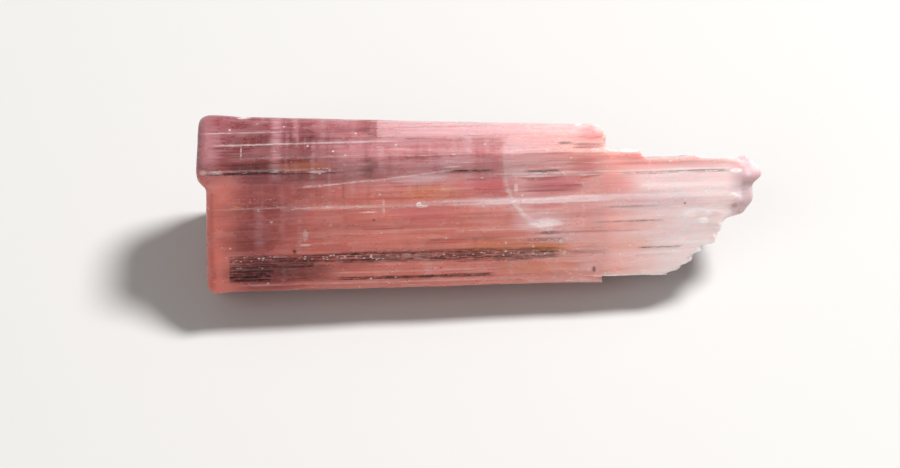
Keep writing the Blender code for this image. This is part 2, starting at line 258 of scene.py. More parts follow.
# Partly white flecks and healed spots, partly painted glints where the key light would sparkle off small
# facets.
WHITE_FLECKS_AND_PAINTED_GLINTS = (
    Mark(-17.60, 7.48, 0.30, 0.20, 0.5),
    Mark(-16.80, 7.44, 0.60, 0.14, 0.5),
    Mark(-15.10, 11.05, 0.60, 0.22, 0.6),
    Mark(-13.05, 7.46, 0.42, 0.14, 0.5),
    Mark(-10.35, 7.34, 0.70, 0.12, 0.5),
    Mark(-15.18, 8.69, 0.07, 0.45, 0.4),
    Mark(-11.14, 3.30, 0.20, 0.45, 0.35),
    Mark(-11.14, 2.70, 0.45, 0.10, 0.45),
    Mark(-3.90, 5.05, 0.24, 0.22, 1.0),
    Mark(-3.70, 4.96, 0.55, 0.12, 0.8),
    Mark(-6.14, 5.00, 0.12, 0.60, 0.4),
    Mark(-7.15, 4.68, 0.65, 0.07, 0.8),
    Mark(-1.80, 7.40, 0.75, 0.06, 0.6),
    Mark(4.15, 3.70, 1.30, 0.42, 0.55),
    Mark(2.30, 5.95, 0.16, 0.42, 0.5),
    Mark(7.50, 8.30, 0.50, 0.25, 0.4),
    Mark(6.30, 9.95, 0.30, 0.15, 0.8),
    Mark(7.60, 9.75, 0.40, 0.50, 0.35),
    Mark(9.60, 8.15, 0.85, 0.18, 0.9),
    Mark(16.35, 6.70, 0.50, 0.18, 0.9),
    Mark(13.45, 4.00, 0.55, 0.35, 0.7),
    Mark(14.30, 3.58, 0.45, 0.32, 1.0),
    Mark(14.60, 4.00, 0.28, 0.24, 0.8),
    Mark(5.20, 2.46, 0.16, 0.16, 0.8),
    Mark(5.40, 1.76, 0.16, 0.16, 0.8),
    Mark(17.60, 7.05, 0.40, 0.50, 0.3),
    Mark(16.15, 5.05, 0.40, 0.30, 0.6),
)
DARK_MARKS = (
    Mark(-11.84, 2.32, 0.16, 0.16, 0.8),
    Mark(-6.78, 4.16, 0.10, 0.10, 0.7),
    Mark(7.30, 0.60, 0.14, 0.26, 0.6),
    Mark(13.08, 4.67, 0.10, 0.10, 0.6),
    Mark(16.30, 4.45, 0.26, 0.20, 0.3),
    Mark(5.45, 8.74, 0.60, 0.12, 0.5),
    Mark(4.50, 3.06, 0.85, 0.14, 0.5),
)

# The healed crack: an oval that it follows, by its middle and its half sizes.
Oval = namedtuple("Oval", "along up wide high")
VEIL = Oval(5.34, 7.5, 3.9, 4.4)

# The thin bright crack: where it starts, how it rises, and where it bends and rises further.
CRACK_START, CRACK_UP, CRACK_RISE = -11.2, 6.40, 0.055
CRACK_BEND, CRACK_BEND_RISE = -6.5, 0.065

# Where the body changes colour. Low and high are parted by a blend over the main edge.
RUSSET_TO_SALMON, MAUVE_TO_ROSE = (-15.5, -5.0), (-13.0, -4.0)
TO_BLUSH, TO_PALE, TO_FROST = (-1.0, 8.5), (7.0, 13.0), (15.6, 17.0)
LOW_TO_HIGH = (5.4, 7.6)
MALLOW_TO_LILAC = (-10.0, -1.0)

# The sizes of the noise that the finish is made of: along the prism, up the front, and into it.
SWAY_SIZE = (5.0, 3.0, 3.0)
TREMBLE_SIZE = (3.0, 0.20, 1.0)
FRAY_SIZE, FRAY = (6.0, 0.14, 1.0), 2.4  # FRAY: how much further a patch reaches on some lines
DRIFT_SIZE, DRIFT = (5.0, 1.6, 2.5), 6.0  # DRIFT: how far the body's colours stray along the prism
FIBRE_SIZE = (8.0, 0.16, 1.2)
HAIR_SIZE = (12.0, 0.07, 0.9)
GRIT_SIZE = (0.50, 0.10, 0.4)
WEAVE_SIZE = (0.45, 4.0, 3.0)
MIST_SIZE = (2.2, 0.9, 1.5)
DOT_SIZE, DUST_SIZE = (0.24, 0.085, 0.2), (0.8, 0.6, 0.6)

# The finish: how light passes through it, and the bump of its growth lines.
REFRACTION = 1.63
CLEAR_ROUGHNESS, MILKY_ROUGHNESS, MILKY_SHINE = 0.24, 0.40, 0.13
SCATTER_COLOUR, SCATTER_DEPTH = (1.0, 0.4, 0.35), 1.6
BUMP_STRENGTH, BUMP_HEIGHT = 0.30, 0.02
LEAST_CLOUD = 0.68  # the share of milkiness where the crystal is clearest
CLEAR_TINT, CLEAR_SHARE = (1.0, 0.97, 0.96), 0.7  # how far this replaces the colour in the clear part

# The stage. The camera looks along the sight line at a view of this width.
VIEW_TARGET = (-1.915, -1.755, 5.0)
VIEW_DISTANCE, VIEW_WIDTH = 300.0, 57.65
SENSOR_WIDTH = 36.0
NEAREST_SEEN = 0.01  # in metres, as are the lamps' distances and sizes
Lamp = namedtuple("Lamp", "name direction distance size")
KEY = Lamp("key", (0.576, 0.344, 1.0), 0.45, 0.12)
FILL = Lamp("fill", (-0.6, -0.7, 0.9), 0.6, 0.5)
FLOOR_SIDES = 96


def height_up_front(x, y, z):
    """Of a point in millimetres, in plain numbers or in shader values."""
    return y * UP_Y + z * UP_Z - x * LINE_RISE - KEEL_UP


# --------------------------------------------------------------------------- modelling


def pick_nothing():
    if bpy.context.mode != "OBJECT":
        bpy.ops.object.mode_set(mode="OBJECT")
    bpy.ops.object.select_all(action="DESELECT")


def pick(piece):
    pick_nothing()
    piece.select_set(True)
    bpy.context.view_layer.objects.active = piece


def copy_of_solid(name):
    """A copy of the plain solid, with its loose triangles welded into one skin."""
    piece = bpy.data.objects.new(name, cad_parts[NODE].data.copy())
    piece.data.name = name
    piece.data.materials.clear()
    bpy.context.scene.collection.objects.link(piece)
    pick(piece)
    bpy.ops.object.mode_set(mode="EDIT")
    bpy.ops.mesh.select_all(action="SELECT")
    bpy.ops.mesh.remove_doubles(threshold=WELD * MM)
    bpy.ops.mesh.customdata_custom_splitnormals_clear()
    bpy.ops.object.mode_set(mode="OBJECT")
    return piece


def cut_edges(piece, too_long):
    """Cuts in two every edge that too_long picks by its middle and its span in millimetres."""
    pick(piece)
    bpy.ops.object.mode_set(mode="EDIT")
    bpy.ops.mesh.select_mode(type="EDGE")
    bpy.ops.mesh.select_all(action="DESELECT")
    mesh = bmesh.from_edit_mesh(piece.data)
    for edge in mesh.edges:
        start, end = (vertex.co / MM for vertex in edge.verts)
        span = end - start
        if too_long((start + end) / 2, abs(span.x), math.hypot(span.y, span.z)):
            edge.select_set(True)
    bmesh.update_edit_mesh(piece.data)
    bpy.ops.mesh.subdivide(number_cuts=1)
    bpy.ops.object.mode_set(mode="OBJECT")


def weigh(piece, name, weight_at):
    """A vertex group whose weights come from weight_at, of each point in millimetres and its normal."""
    group = piece.vertex_groups.new(name=name)
    for vertex in piece.data.vertices:
        weight = weight_at(vertex.co / MM, vertex.normal)
        if weight > 0.0:
            group.add([vertex.index], min(weight, 1.0), "REPLACE")
    return name


def press_in(piece, press, depth, group):
    """Sinks the skin by up to depth where the press's noise is dark."""
    pick_nothing()
    bpy.ops.object.empty_add(location=MIDDLE * MM)
    guide = bpy.context.object
    guide.scale = [size * MM for size in press.grain]
    guide.rotation_euler = (0.0, -math.atan(LINE_RISE), 0.0)
    bpy.context.view_layer.update()
    pick(piece)
    sink = piece.modifiers.new(press.name, "DISPLACE")
    sink.texture = cloud_texture(press)
    sink.texture_coords = "OBJECT"
    sink.texture_coords_object = guide
    sink.strength = depth * MM
    sink.mid_level = 1.0
    sink.vertex_group = group
    bpy.ops.object.modifier_apply(modifier=sink.name)
    bpy.data.objects.remove(guide)


def smooth_step(value):
    value = min(max(value, 0.0), 1.0)
    return value * value * (3 - 2 * value)


def cloud_texture(press):
    """Soft noise. With steps it is cut into that many flat levels, which makes ledges of it."""
    texture = bpy.data.textures.new(press.name, "CLOUDS")
    texture.noise_basis = "IMPROVED_PERLIN"
    texture.noise_scale = 1.0
    texture.noise_depth = press.detail
    if press.steps:
        texture.use_color_ramp = True
        ramp = texture.color_ramp
        ramp.interpolation = "CONSTANT"
        ramp.elements[0].color = (0.0, 0.0, 0.0, 1.0)
        ramp.elements[1].position = LIGHTEST
        ramp.elements[1].color = (1.0, 1.0, 1.0, 1.0)
        for step in range(1, press.steps - 1):
            level = step / (press.steps - 1)
            grey = ramp.elements.new(DARKEST + (LIGHTEST - DARKEST) * level)
            grey.color = (level, level, level, 1.0)
    return texture


def off_floor(point, normal):
    """How free a point is to move: the rest face stays flat."""
    return smooth_step((point.z - LOW.z - REST_CLEAR) / REST_BLEND)


def on_long_faces(point, normal):
    worn = smooth_step((point.x - COLLAR_START) / (COLLAR_END - COLLAR_START))
    calm = 1.0 - CALM * smooth_step((point.x - CALM_START) / CALM_FADE)
    not_end = smooth_step((END_FACING - abs(normal.x)) / END_BLEND)
    return off_floor(point, normal) * worn * calm * not_end


def on_breaks(point, normal):
    return off_floor(point, normal) * smooth_step((point.x - BREAK_START) / BREAK_FADE)


def on_break_faces(point, normal):
    """The faces of the right end's breaks and their rims, and the tip."""
    facing = max(abs(normal.x) - SIDEWAYS, normal.y - REAR_FACING, 0.0)
    tip = smooth_step((point.x - TIP_START) / TIP_FADE)
    return on_breaks(point, normal) * max(smooth_step(facing / BREAK_BLEND), tip)


def on_worn_ends(point, normal):
    """The lump that ends the tip, the block's upper right corner, and the rim of the left end."""
    lump = smooth_step((point.x - LUMP_START) / LUMP_FADE)
    up = height_up_front(*point)
    corner = smooth_step((point.x - CORNER_START) / CORNER_FADE)
    corner *= smooth_step((up - CORNER_FOOT) / CORNER_RISE)
    rim = RIM_WEAR * smooth_step((RIM_START - point.x) / RIM_FADE)
    return off_floor(point, normal) * max(lump, corner, rim)


def press_off(piece, chip):
    """Breaks a piece off: what stands beyond the chip's plane, near its place, is pressed flat on to it."""
    pick(piece)
    bpy.ops.object.mode_set(mode="EDIT")
    bpy.ops.mesh.select_mode(type="VERT")
    bpy.ops.mesh.select_all(action="DESELECT")
    mesh = bmesh.from_edit_mesh(piece.data)
    place, facing = Vector(chip.place), Vector(chip.facing).normalized()
    for vertex in mesh.verts:
        offset = vertex.co / MM - place
        if offset.dot(facing) > 0.0 and offset.length < chip.reach:
            vertex.select_set(True)
    mesh.select_flush_mode()
    bmesh.update_edit_mesh(piece.data)
    turn = facing.to_track_quat("Z", "Y").to_matrix()
    bpy.ops.transform.resize(
        value=(1.0, 1.0, 0.0),
        orient_type="GLOBAL",
        orient_matrix=turn,
        orient_matrix_type="GLOBAL",
        constraint_axis=(False, False, True),
        center_override=place * MM,
    )
    bpy.ops.object.mode_set(mode="OBJECT")


def relax(piece, group, times, keep_along=False):
    """Rounds off small steps. With keep_along no point moves along the prism."""
    pick(piece)
    soften = piece.modifiers.new("relax", "SMOOTH")
    soften.vertex_group = group
    soften.factor = 0.5
    soften.iterations = times
    soften.use_x = not keep_along
    bpy.ops.object.modifier_apply(modifier=soften.name)


def even_out(piece):
    """Takes the solid's coarse grooves off the long faces, which get finer lines. Its edges stay."""
    mesh = bmesh.new()
    mesh.from_mesh(piece.data)
    flat = {v.index for v in mesh.verts if v.calc_shell_factor() < EDGE_SHARPNESS}
    mesh.free()
    grooved = piece.vertex_groups.new(name="grooved")
    for vertex in piece.data.vertices:
        low = vertex.co.z / MM < LOW.z + REST_CLEAR
        if vertex.index in flat and not low and abs(vertex.normal.x) < SIDEWAYS:
            grooved.add([vertex.index], 1.0, "REPLACE")
    relax(piece, grooved.name, 1, keep_along=True)


def fit_in_box(piece):
    """Brings the finished skin back to the plain solid's box, out of which its lines and chips took it."""
    pick(piece)
    points = [vertex.co / MM for vertex in piece.data.vertices]
    low, high = (Vector([f(p[axis] for p in points) for axis in range(3)]) for f in (min, max))
    share = [want / size for want, size in zip(HIGH - LOW, high - low)]
    foot = Vector(((low.x + high.x) / 2, (low.y + high.y) / 2, low.z))
    bpy.ops.object.mode_set(mode="EDIT")
    bpy.ops.mesh.select_all(action="SELECT")
    bpy.ops.transform.resize(value=share, center_override=foot * MM)
    shift = Vector((MIDDLE.x, MIDDLE.y, LOW.z)) - foot
    bpy.ops.transform.translate(value=shift * MM)
    bpy.ops.object.mode_set(mode="OBJECT")


def too_coarse(middle, along, across):
    """Whether an edge of the skin is cut: growth lines need it fine across them, and the ends all round."""
    fine = middle.x > BREAK_START - CUT_BLEND or middle.x < COLLAR_START
    return across > CUT_ACROSS or along > (CUT_ALONG_ENDS if fine else CUT_ALONG)


def build_crystal(settings):
    piece = copy_of_solid("pink_tourmaline_crystal")
    even_out(piece)
    for _ in range(CUT_ROUNDS):
        cut_edges(piece, too_coarse)
    long_faces = weigh(piece, "long_faces", on_long_faces)
    everywhere = weigh(piece, "off_floor", off_floor)
    breaks = weigh(piece, "breaks", on_breaks)
    splinters = weigh(piece, "splinters", on_break_faces)
    press_in(piece, LEDGES, settings.ledge_depth, long_faces)
    press_in(piece, LINES, settings.line_depth, long_faces)
    press_in(piece, WEAR, settings.wear_depth, everywhere)
    press_in(piece, SPLINTERS, settings.chip_depth, splinters)
    for chip in CHIPS:
        press_off(piece, chip)
    relax(piece, breaks, BREAKS_RELAXED)
    relax(piece, weigh(piece, "worn_ends", on_worn_ends), ENDS_RELAXED)
    relax(piece, weigh(piece, "break_faces", on_break_faces), FACES_RELAXED)
    fit_in_box(piece)
    bpy.ops.object.mode_set(mode="EDIT")
    bpy.ops.mesh.select_all(action="SELECT")
    bpy.ops.mesh.quads_convert_to_tris()
    bpy.ops.mesh.normals_make_consistent(inside=False)
    bpy.ops.object.mode_set(mode="OBJECT")
    piece.vertex_groups.clear()
    bpy.ops.object.shade_smooth_by_angle(angle=SMOOTH_UNDER)
    return piece


# --------------------------------------------------------------------------- finish


class Value:
    """A socket in a Python expression: each operator adds its Math node."""

    def __init__(self, graph, socket):
        self.graph, self.socket = graph, socket

    def maths(self, operation, *inputs):
        return self.graph.node("ShaderNodeMath", {"operation": operation}, inputs)

    def __add__(self, other):
        return self.maths("ADD", self, other)

    def __sub__(self, other):
        return self.maths("SUBTRACT", self, other)

    def __rsub__(self, other):
        return self.maths("SUBTRACT", other, self)

    def __mul__(self, other):
        return self.maths("MULTIPLY", self, other)

    def __truediv__(self, other):
        return self.maths("DIVIDE", self, other)

    __radd__, __rmul__ = __add__, __mul__

    def power(self, exponent):
        return self.maths("POWER", self, exponent)

    def max(self, other):
        return self.maths("MAXIMUM", self, other)

    def size(self):
        return self.maths("ABSOLUTE", self)

    def rises(self, start, end):
        """0 up to start, 1 from end, and a smooth slope between. It falls where end is below start."""
        if end < start:
            return 1.0 - self.rises(end, start)
        settings = {"interpolation_type": "SMOOTHSTEP", "clamp": False}
        return self.graph.node("ShaderNodeMapRange", settings, {0: self, 1: start, 2: end, 3: 0.0, 4: 1.0})

    def band(self, middle, half, soft):
        """1 within half of middle, and 0 from soft beyond that."""
        return (self - middle).size().rises(half + soft, half)


class Graph:
    """The node tree of one material."""

    def __init__(self, name):
        self.material = bpy.data.materials.new(name)
        self.material.use_nodes = True
        self.tree = self.material.node_tree
        self.tree.nodes.clear()

    def node(self, kind, settings, inputs, output=0):
        """Adds a node. Its settings are set first, then its sockets get values or links."""
        made = self.tree.nodes.new(kind)
        for name, value in settings.items():
            setattr(made, name, value)
        named = inputs.items() if isinstance(inputs, dict) else enumerate(inputs)
        for name, value in named:
            if isinstance(value, Value):
                self.tree.links.new(value.socket, made.inputs[name])
            else:
                made.inputs[name].default_value = value
        return Value(self, made.outputs[output])

    def finished(self, surface, volume=None):
        """The material, with this surface and what fills it."""
        output = self.tree.nodes.new("ShaderNodeOutputMaterial")
        self.tree.links.new(surface.socket, output.inputs["Surface"])
        if volume:
            self.tree.links.new(volume.socket, output.inputs["Volume"])
        return self.material

    def blend(self, mask, under, over):
        """The colour under, with over laid on it where the mask is 1."""
        under, over = ((*c, 1.0) if isinstance(c, tuple) else c for c in (under, over))
        settings = {"data_type": "RGBA", "clamp_factor": True}
        return self.node("ShaderNodeMix", settings, {0: mask, 6: under, 7: over}, 2)

    def shade(self, mask, under, shadow):
        """The colour under, multiplied by the shadow colour where the mask is 1."""
        settings = {"data_type": "RGBA", "clamp_factor": True, "blend_type": "MULTIPLY"}
        return self.node("ShaderNodeMix", settings, {0: mask, 6: under, 7: (*shadow, 1.0)}, 2)

    def stretch(self, place, sizes):
        factors = tuple(1.0 / size for size in sizes)
        return self.node("ShaderNodeVectorMath", {"operation": "MULTIPLY"}, {0: place, 1: factors})

    def shift(self, place, offset):
        return self.node("ShaderNodeVectorMath", {"operation": "ADD"}, {0: place, 1: offset})

    def noise(self, place, sizes, detail=2.0, roughness=0.5):
        """Noise from about 0.3 to 0.7, whose blots have these sizes in millimetres."""
        inputs = {"Vector": self.stretch(place, sizes), "Scale": 1.0}
        inputs |= {"Detail": detail, "Roughness": roughness}
        return self.node("ShaderNodeTexNoise", {"noise_dimensions": "3D"}, inputs)

    def specks(self, place, sizes, radius, share):
        """Separate round specks. Of the cells, each of these sizes, about this share holds one."""
        settings = {"voronoi_dimensions": "3D", "feature": "F1"}
        inputs = {"Vector": self.stretch(place, sizes), "Scale": 1.0, "Randomness": 1.0}
        distance = self.node("ShaderNodeTexVoronoi", settings, inputs)
        colour = Value(self, distance.socket.node.outputs["Color"])
        chance = self.node("ShaderNodeSeparateColor", {}, {0: colour})
        return distance.rises(radius, radius * 0.4) * chance.rises(share + 0.02, share)


class Grain:
    """Places on and in the crystal, in millimetres: along the prism, up the front, and square to both."""

    def __init__(self, graph):
        coordinates = graph.node("ShaderNodeTexCoord", {}, {}, "Object")
        in_mm = {0: coordinates, "Scale": 1.0 / MM}
        place = graph.node("ShaderNodeVectorMath", {"operation": "SCALE"}, in_mm)
        parts = graph.node("ShaderNodeSeparateXYZ", {}, {0: place})
        x, y, z = (Value(graph, socket) for socket in parts.socket.node.outputs)
        self.graph = graph
        self.along = x
        self.up = height_up_front(x, y, z)
        self.deep = z * UP_Y - y * UP_Z
        self.place = graph.node("ShaderNodeCombineXYZ", {}, (self.along, self.up, self.deep))
        self.sway = graph.noise(self.place, SWAY_SIZE) * 0.22 - 0.11
        self.height = self.up + self.sway * 0.5
        self.run = self.along + self.sway * 0.5
        self.tremble = graph.noise(self.moved(1.0, 4.0, 2.0), TREMBLE_SIZE, 2.0, 0.6) * 0.5 - 0.25
        fray = graph.noise(self.moved(3.0, 0.0, 7.0), FRAY_SIZE, 2.0, 0.6)
        self.frayed = self.along + fray * FRAY - FRAY / 2

    def moved(self, along, up, deep):
        """The same places, moved so that a second noise isn't the first again."""
        return self.graph.shift(self.place, (along, up, deep))

    def line(self, line):
        """The mask of one growth line. It fades in and out at its ends."""
        over = self.height.band(line.up, line.half, line.half * 1.2)
        ends = self.run.rises(line.start - line.fade, line.start + line.fade)
        return over * ends * self.run.rises(line.end + line.fade, line.end - line.fade) * line.strength

    def mark(self, mark):
        """The mask of one mark. It fades from its middle outwards."""
        aside = (self.run - mark.along) / mark.wide
        above = (self.height - mark.up) / mark.high
        return (aside * aside + above * above).rises(1.0, 0.2) * mark.strength

    def column(self, column):
        """The mask of one upright column, which keeps its strength from its foot to its head."""
        aside = (self.run + self.tremble - column.along).size().rises(column.wide * 1.8, column.wide * 0.2)
        above = (self.height - column.up).size().rises(column.high * 1.2, column.high * 0.7)
        return aside * above * column.strength

    def patch(self, patch):
        """The mask of one patch, which ends further along on some growth lines than on others."""
        aside = (self.frayed - patch.along) / patch.wide
        above = (self.up + self.sway * 1.5 - patch.up) / patch.high
        return (aside * aside + above * above).rises(1.3, 0.0) * patch.strength


def united(masks):
    """One mask that is as strong as the strongest of these. Each joins the whole as it is made."""
    masks = iter(masks)
    whole = next(masks)
    for mask in masks:
        whole = whole.max(mask)
    return whole


def body_colour(graph, grain, settings):
    """Dusky at the left, salmon in the middle, pale at the right, and rosier over the main edge."""
    along, up = grain.along, grain.up
    drift = graph.noise(grain.moved(3.0, 9.0, 1.0), DRIFT_SIZE, 3.0, 0.5) * DRIFT - DRIFT / 2
    place = along + drift
    low = graph.blend(place.rises(*RUSSET_TO_SALMON), tuple(settings.russet), tuple(settings.salmon))
    high = graph.blend(place.rises(*MAUVE_TO_ROSE), tuple(settings.mauve), tuple(settings.rose))
    body = graph.blend((up + grain.sway).rises(*LOW_TO_HIGH), low, high)
    body = graph.blend(place.rises(*TO_BLUSH), body, tuple(settings.blush))
    body = graph.blend(place.rises(*TO_PALE), body, tuple(settings.pale))
    collar = (along + grain.sway * 4.0).rises(-14.6, -16.2) * (up + grain.sway).rises(8.4, 6.4)
    return graph.blend(collar * 0.75, body, tuple(settings.salmon))


def crystal_finish(settings):
    graph = Graph("pink_tourmaline")
    grain = Grain(graph)
    along, up = grain.along, grain.up

    # Growth lines: fine noise drawn out along the prism, and the strongest lines by name. The dark ones low
    # on the front are painted shade, where the shadow under the crystal would show through.
    fibres = graph.noise(grain.place, FIBRE_SIZE, 3.0, 0.62)
    hairs = graph.noise(grain.moved(11.0, 5.0, 2.0), HAIR_SIZE, 2.0, 0.6)
    grit = graph.noise(grain.moved(2.0, 1.0, 8.0), GRIT_SIZE, 3.0, 0.7)
    on_prism = (along + grain.sway * 3.0).rises(-16.6, -15.2)
    broken = grit.rises(0.34, 0.56) * 0.7 + hairs.rises(0.56, 0.42) * 0.5
    dark_lines_and_painted_shade = united(grain.line(line) for line in DARK_LINES_AND_PAINTED_SHADE) * broken
    light_lines = united(grain.line(line) for line in LIGHT_LINES) * (0.35 + grit.rises(0.36, 0.60) * 0.65)
    calm = along.rises(11.0, 2.0)
    dark_hairs = hairs.rises(0.44, 0.28) * on_prism * (0.10 + calm * 0.28)
    light_hairs = hairs.rises(0.54, 0.72) * on_prism * 0.34

    # Cracks across the prism show as faint columns, woven with the growth lines.
    weave = graph.noise(grain.moved(7.0, 3.0, 5.0), WEAVE_SIZE, 4.0, 0.65)
    cracked = along.rises(-16.0, -14.0) * along.rises(9.0, -3.0) * (0.35 + up.rises(3.0, 6.5) * 0.65)
    cracks = weave.rises(0.50, 0.72) * cracked * 0.40
    seams = weave.rises(0.46, 0.28) * cracked * 0.60

    # The curved edge of a healed crack, paler on its right.
    bent_x, bent_up = (along - VEIL.along) / VEIL.wide, (up - VEIL.up) / VEIL.high
    ring = (bent_x * bent_x + bent_up * bent_up).power(0.5) + (grit - 0.5) * 0.05 + grain.sway * 0.3
    veil = ring.band(0.99, 0.01, 0.05) * along.rises(5.2, 3.6) * up.rises(7.4, 5.6)
    veil = veil * grit.rises(0.30, 0.62) * 0.5
    behind_veil = ring.rises(1.01, 0.98) * along.rises(9.0, 2.0) * up.rises(11.5, 9.0) * 0.50

    # A thin bright crack climbs from one growth line to another.
    past_bend = along.max(CRACK_BEND) - CRACK_BEND
    climb = CRACK_UP + (along - CRACK_START) * CRACK_RISE + past_bend * CRACK_BEND_RISE + grain.sway * 0.6
    crack = (up - climb).size().rises(0.07, 0.02) * along.rises(-11.8, -10.8) * along.rises(-1.4, -2.2)

    # Mist and healed places, the paler areas and upright columns by name, and a painted sheen: a paler band
    # on the top face that stands in for the key light's reflection.
    mist = graph.noise(grain.moved(5.0, 17.0, 9.0), MIST_SIZE, 4.0, 0.6)
    # Painted highlight: the top face right of a sharp edge is paler, as if the key light shone off it.
    painted_sheen = along.rises(-6.64, -6.52) * (up + grain.sway).rises(8.9, 9.6) * along.rises(9.5, 7.0)
    lilac_line = grain.height.band(5.12, 0.10, 0.34) * along.rises(-6.0, 3.0) * along.rises(14.0, 8.0)
    pale_patches = united(grain.patch(patch) for patch in PALE_PATCHES)
    columns = united(grain.column(column) for column in COLUMNS)
    columns = columns * (0.50 + fibres.rises(0.36, 0.58) * 0.50)
    rosy = united(grain.patch(patch) for patch in ROSE_PATCHES)
    # pale holds the crystal's own paler, misty and healed places, and the painted sheen as well.
    pale = united(
        [
            cracks,
            behind_veil,
            light_hairs,
            painted_sheen * 0.5,
            mist.rises(0.45, 0.85) * 0.35,
            lilac_line * 0.75,
            pale_patches,
            columns,
        ]
    ) * (1.0 - rosy * 0.75)

    # Bright specks: painted glints in bands, which stand in for light sparkling off tiny facets, dust all
    # over, and the largest marks by name, partly white flecks and partly painted glints.
    painted_sparkles = graph.specks(grain.place, DOT_SIZE, 0.46, 0.5) * (0.3 + grit.rises(0.4, 0.6) * 0.6)
    dust = graph.specks(grain.moved(4.0, 2.0, 6.0), DUST_SIZE, 0.13, 0.5)
    glint_bands = united(grain.line(line) for line in PAINTED_GLINT_BANDS)
    white_flecks_and_painted_glints = united(grain.mark(mark) for mark in WHITE_FLECKS_AND_PAINTED_GLINTS)
    white_flecks_and_painted_glints = white_flecks_and_painted_glints * (0.25 + grit.rises(0.36, 0.54) * 0.75)
    # glints: the painted glints, together with the dust, the veil and the bright crack, which are the
    # crystal's own.
    glints = united([painted_sparkles * glint_bands, dust * 0.7, veil, white_flecks_and_painted_glints, crack * grit.rises(0.3, 0.6) * 0.6])

    # The colour: the body and its patches, among them a painted shade, the shady lines, the mist with the
    # painted sheen, the dark lines with the painted shade of the dark band, and the bright specks with the
    # painted glints.
    # dusky: the crystal's dusky patches, and one patch of painted shade near the tip.
    dusky = united(grain.patch(patch) for patch in DUSKY_PATCHES_AND_PAINTED_SHADE)
    amber = united(grain.patch(patch) for patch in AMBER_PATCHES)
    body = graph.blend(dusky, body_colour(graph, grain, settings), tuple(settings.dusky))
    body = graph.blend(rosy, body, tuple(settings.deep_rose))
    body = graph.blend(amber, body, tuple(settings.amber))
    shady = seams.max(fibres.rises(0.46, 0.30) * on_prism * (0.12 + calm * 0.18))
    body = graph.shade(shady, body, tuple(settings.shadow))
    haze = graph.blend(along.rises(*MALLOW_TO_LILAC), tuple(settings.mallow), tuple(settings.lilac))
    # Lays the mist colour on the pale places, and so also paints the sheen on the top face.
    body = graph.blend(pale, body, haze)
    body = graph.blend(along.rises(*TO_FROST) * 0.8, body, tuple(settings.frost))
    dark_marks = united(grain.mark(mark) for mark in DARK_MARKS)
    # dark: dark growth lines, hairs and marks, and the painted shade of the dark band near the keel.
    dark = united([dark_lines_and_painted_shade, dark_hairs, dark_marks])
    body = graph.shade(dark, body, tuple(settings.dark))
    body = graph.blend(united([glints, light_lines * 0.6]), body, tuple(settings.white))

    # The surface: clear and milky crystal, mixed by how cloudy it is.
    bump = {"Strength": BUMP_STRENGTH, "Distance": BUMP_HEIGHT * MM, "Height": fibres * 0.6 + hairs * 0.4}
    skin = graph.node("ShaderNodeBump", {}, bump)
    clear = {
        "Base Color": graph.blend(CLEAR_SHARE, body, CLEAR_TINT),
        "Roughness": CLEAR_ROUGHNESS + mist.rises(0.45, 0.7) * 0.12,
        "IOR": REFRACTION,
        "Transmission Weight": 1.0,
        "Normal": skin,
    }
    milky = {
        "Base Color": body,
        "Roughness": MILKY_ROUGHNESS,
        "IOR": REFRACTION,
        "Specular IOR Level": MILKY_SHINE,
        "Subsurface Weight": 1.0,
        "Subsurface Radius": SCATTER_COLOUR,
        "Subsurface Scale": SCATTER_DEPTH * MM,
        "Normal": skin,
    }
    cloud = united(
        [
            LEAST_CLOUD + mist.rises(0.35, 0.75) * 0.08,
            0.62 + pale * 0.30,
            dark * 0.95,
            glints,
            light_lines,
            along.rises(4.0, 9.0) * 0.84,
        ]
    )
    surfaces = [graph.node("ShaderNodeBsdfPrincipled", {}, sockets) for sockets in (clear, milky)]
    tint = {"Color": (*settings.depth_tint, 1.0), "Density": settings.depth_strength}
    volume = graph.node("ShaderNodeVolumeAbsorption", {}, tint)
    return graph.finished(graph.node("ShaderNodeMixShader", {}, (cloud, *surfaces)), volume)


# --------------------------------------------------------------------------- stage


def pale_finish(name, colour):
    graph = Graph(name)
    matt = {"Base Color": (*colour, 1.0), "Roughness": 0.85}
    return graph.finished(graph.node("ShaderNodeBsdfPrincipled", {}, matt))


def aim(thing, place, target):
    thing.location = place
    thing.rotation_euler = (Vector(target) - Vector(place)).to_track_quat("-Z", "Y").to_euler()


def build_floor(settings):
    pick_nothing()
    bpy.ops.mesh.primitive_circle_add(vertices=FLOOR_SIDES, radius=settings.floor_size, fill_type="NGON")
    floor = bpy.context.object
    floor.name = "floor"
    floor.data.materials.append(pale_finish("pale floor", settings.floor_colour))


def build_light(lamp, power, target):
    pick_nothing()
    bpy.ops.object.light_add(type="AREA")
    light = bpy.context.object
    light.name = lamp.name
    light.data.shape = "DISK"
    light.data.size = lamp.size
    light.data.energy = power
    aim(light, target + Vector(lamp.direction).normalized() * lamp.distance, target)


def build_room(settings):
    world = bpy.data.worlds.new("studio")
    world.use_nodes = True
    background = world.node_tree.nodes["Background"]
    background.inputs["Color"].default_value = (*settings.room_colour, 1.0)
    background.inputs["Strength"].default_value = settings.room_light
    bpy.context.scene.world = world
    bpy.context.scene.view_settings.view_transform = "Standard"


def build_camera(target):
    bpy.ops.object.camera_add()
    camera = bpy.context.object
    camera.name = "camera"
    camera.data.sensor_width = SENSOR_WIDTH
    camera.data.lens = SENSOR_WIDTH * VIEW_DISTANCE / VIEW_WIDTH
    camera.data.clip_start = NEAREST_SEEN
    direction = Vector((0.0, -math.cos(SIGHT_LINE), math.sin(SIGHT_LINE)))
    aim(camera, target + direction * VIEW_DISTANCE * MM, target)
    bpy.context.scene.camera = camera


def build_stage(settings):
    target = Vector(VIEW_TARGET) * MM
    build_floor(settings)
    build_light(KEY, settings.key_power, target)
    build_light(FILL, settings.fill_power, target)
    build_room(settings)
    build_camera(target)


# --------------------------------------------------------------------------- settings and panel


